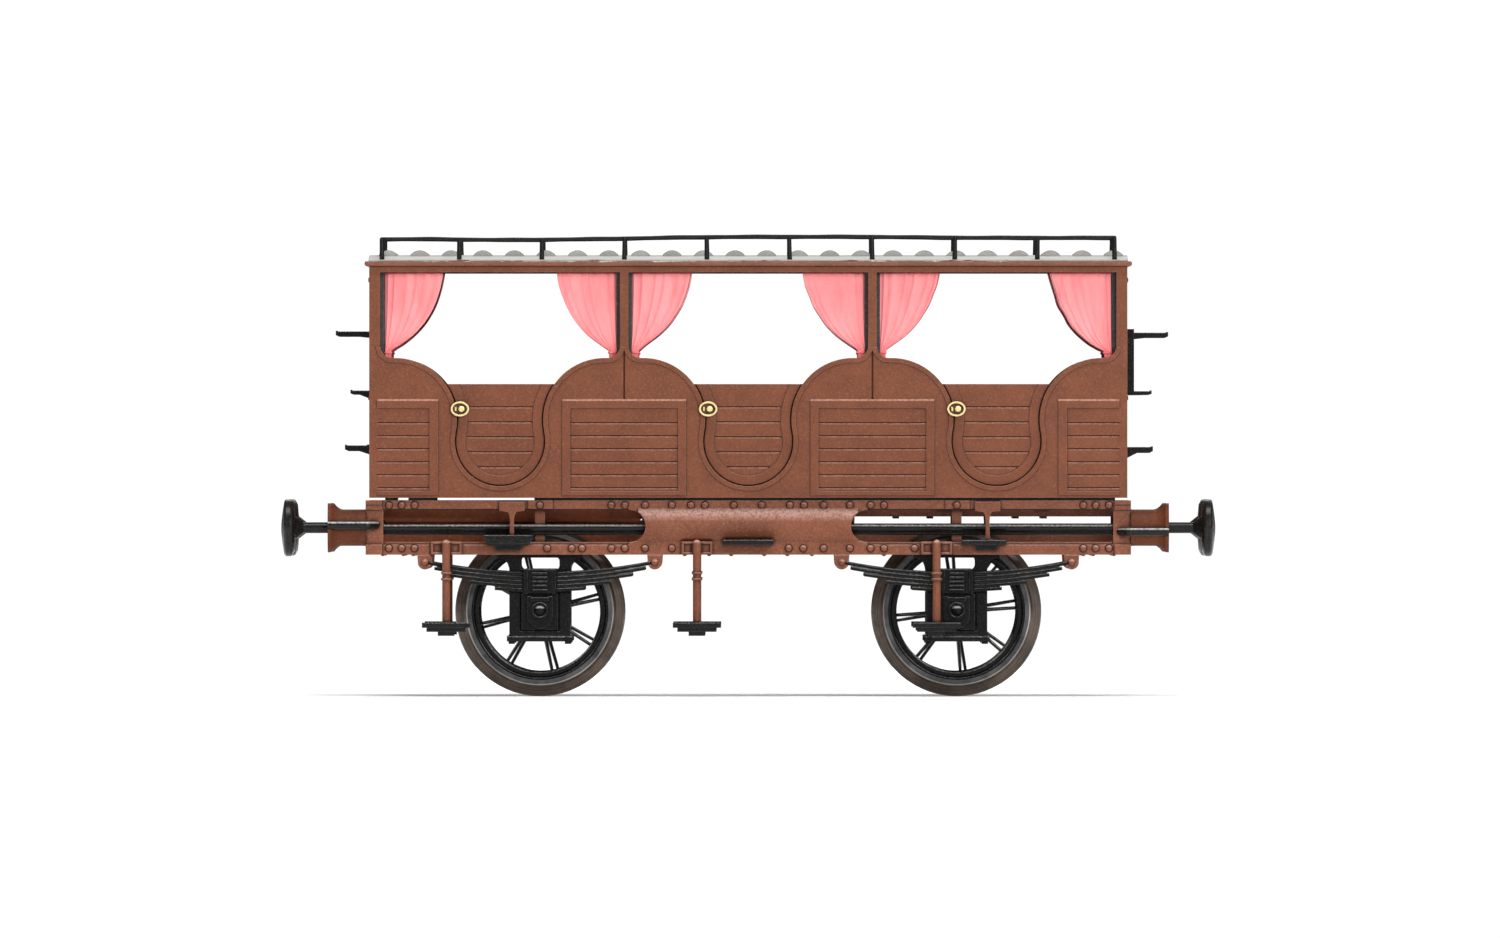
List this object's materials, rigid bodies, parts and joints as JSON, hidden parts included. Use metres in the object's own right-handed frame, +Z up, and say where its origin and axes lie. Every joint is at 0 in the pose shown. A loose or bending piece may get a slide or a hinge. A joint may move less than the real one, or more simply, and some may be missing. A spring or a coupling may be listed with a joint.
{
  "type": "model railway passenger coach",
  "caption": "Four-wheeled model railway coach with open-sided compartments, curtains, roof luggage rail, leaf springs, spoked wheels and sprung buffers.",
  "frame": {"origin": "on the ground under the middle of the coach, at the bottom of the wheel flanges", "axes": "+X along the coach towards the right end as seen from the near side, +Y across the coach from the near side to the far side, +Z up"},
  "size_m": [0.0764, 0.0302, 0.0377],
  "materials": {
    "coach_brown": "satin",
    "frame_brown": "satin",
    "ballast_iron": "painted matte",
    "floor_brown": "matte",
    "interior_grey": "matte",
    "seat_leather": "matte",
    "curtain_pink": "matte",
    "roof_grey": "matte",
    "rail_black": "satin",
    "satin_black": "satin",
    "gear_black": "satin",
    "buffer_black": "satin",
    "brass": "polished",
    "spring_steel": "bright",
    "axle_steel": "turned",
    "tyre_metal": "chemically darkened"
  },
  "bodies": {
    "coach": {"axle_bearings": "brass", "axleboxes": "gear_black", "axleguard_left_far": "gear_black", "axleguard_left_near": "gear_black", "axleguard_right_far": "gear_black", "axleguard_right_near": "gear_black", "ballast_weight": "ballast_iron", "bench_seats": "seat_leather", "body_end_left": "coach_brown", "body_end_right": "coach_brown", "body_side_far": "coach_brown", "body_side_near": "coach_brown", "buffer_housing_left_far": "frame_brown", "buffer_housing_left_near": "frame_brown", "buffer_housing_right_far": "frame_brown", "buffer_housing_right_near": "frame_brown", "buffer_side_rods": "satin_black", "buffer_spring_left_far": "spring_steel", "buffer_spring_left_near": "spring_steel", "buffer_spring_right_far": "spring_steel", "buffer_spring_right_near": "spring_steel", "coupling_bar_left": "satin_black", "coupling_bar_right": "satin_black", "cross_members": "frame_brown", "curtains_far": "curtain_pink", "curtains_near": "curtain_pink", "door_handles": "brass", "doors_far": "coach_brown", "doors_near": "coach_brown", "end_steps_left": "satin_black", "end_steps_right": "satin_black", "floor_panel": "floor_brown", "headstock_left": "frame_brown", "headstock_right": "frame_brown", "keeper_bars": "gear_black", "leaf_springs_far": "gear_black", "leaf_springs_near": "gear_black", "long_buffing_rods": "satin_black", "lower_step_posts": "frame_brown", "lower_step_treads": "satin_black", "packing_strips": "satin_black", "partitions": "interior_grey", "roof_cornice": "coach_brown", "roof_luggage_rail": "rail_black", "roof_panel": "roof_grey", "solebar_far": "frame_brown", "solebar_near": "frame_brown", "spring_hangers": "frame_brown", "upper_step_posts": "frame_brown", "upper_step_treads": "satin_black"},
    "wheelset_left": {"axle_left": "axle_steel", "wheel_centres_left": "gear_black", "tyres_left": "tyre_metal"},
    "wheelset_right": {"axle_right": "axle_steel", "wheel_centres_right": "gear_black", "tyres_right": "tyre_metal"},
    "sprung_buffer_left_near": {"buffer_left_near": "buffer_black"},
    "sprung_buffer_left_far": {"buffer_left_far": "buffer_black"},
    "sprung_buffer_right_near": {"buffer_right_near": "buffer_black"},
    "sprung_buffer_right_far": {"buffer_right_far": "buffer_black"}
  },
  "joints": [
    {"name": "wheelset_left_spin", "type": "hinge", "parent": "coach", "child": "wheelset_left", "pos_m": [-0.01705, 0, 0.00695], "axis": [0, 1, 0], "continuous": true},
    {"name": "wheelset_right_spin", "type": "hinge", "parent": "coach", "child": "wheelset_right", "pos_m": [0.01705, 0, 0.00695], "axis": [0, 1, 0], "continuous": true},
    {"name": "buffer_left_near_slide", "type": "slide", "parent": "coach", "child": "sprung_buffer_left_near", "axis": [1, 0, 0], "range_m": [0, 0.0008], "stiffness_N_per_m": 60, "springref_m": -0.0004, "deforming": ["buffer_spring_left_near"]},
    {"name": "buffer_left_far_slide", "type": "slide", "parent": "coach", "child": "sprung_buffer_left_far", "axis": [1, 0, 0], "range_m": [0, 0.0008], "stiffness_N_per_m": 60, "springref_m": -0.0004, "deforming": ["buffer_spring_left_far"]},
    {"name": "buffer_right_near_slide", "type": "slide", "parent": "coach", "child": "sprung_buffer_right_near", "axis": [-1, 0, 0], "range_m": [0, 0.0008], "stiffness_N_per_m": 60, "springref_m": -0.0004, "deforming": ["buffer_spring_right_near"]},
    {"name": "buffer_right_far_slide", "type": "slide", "parent": "coach", "child": "sprung_buffer_right_far", "axis": [-1, 0, 0], "range_m": [0, 0.0008], "stiffness_N_per_m": 60, "springref_m": -0.0004, "deforming": ["buffer_spring_right_far"]}
  ]
}
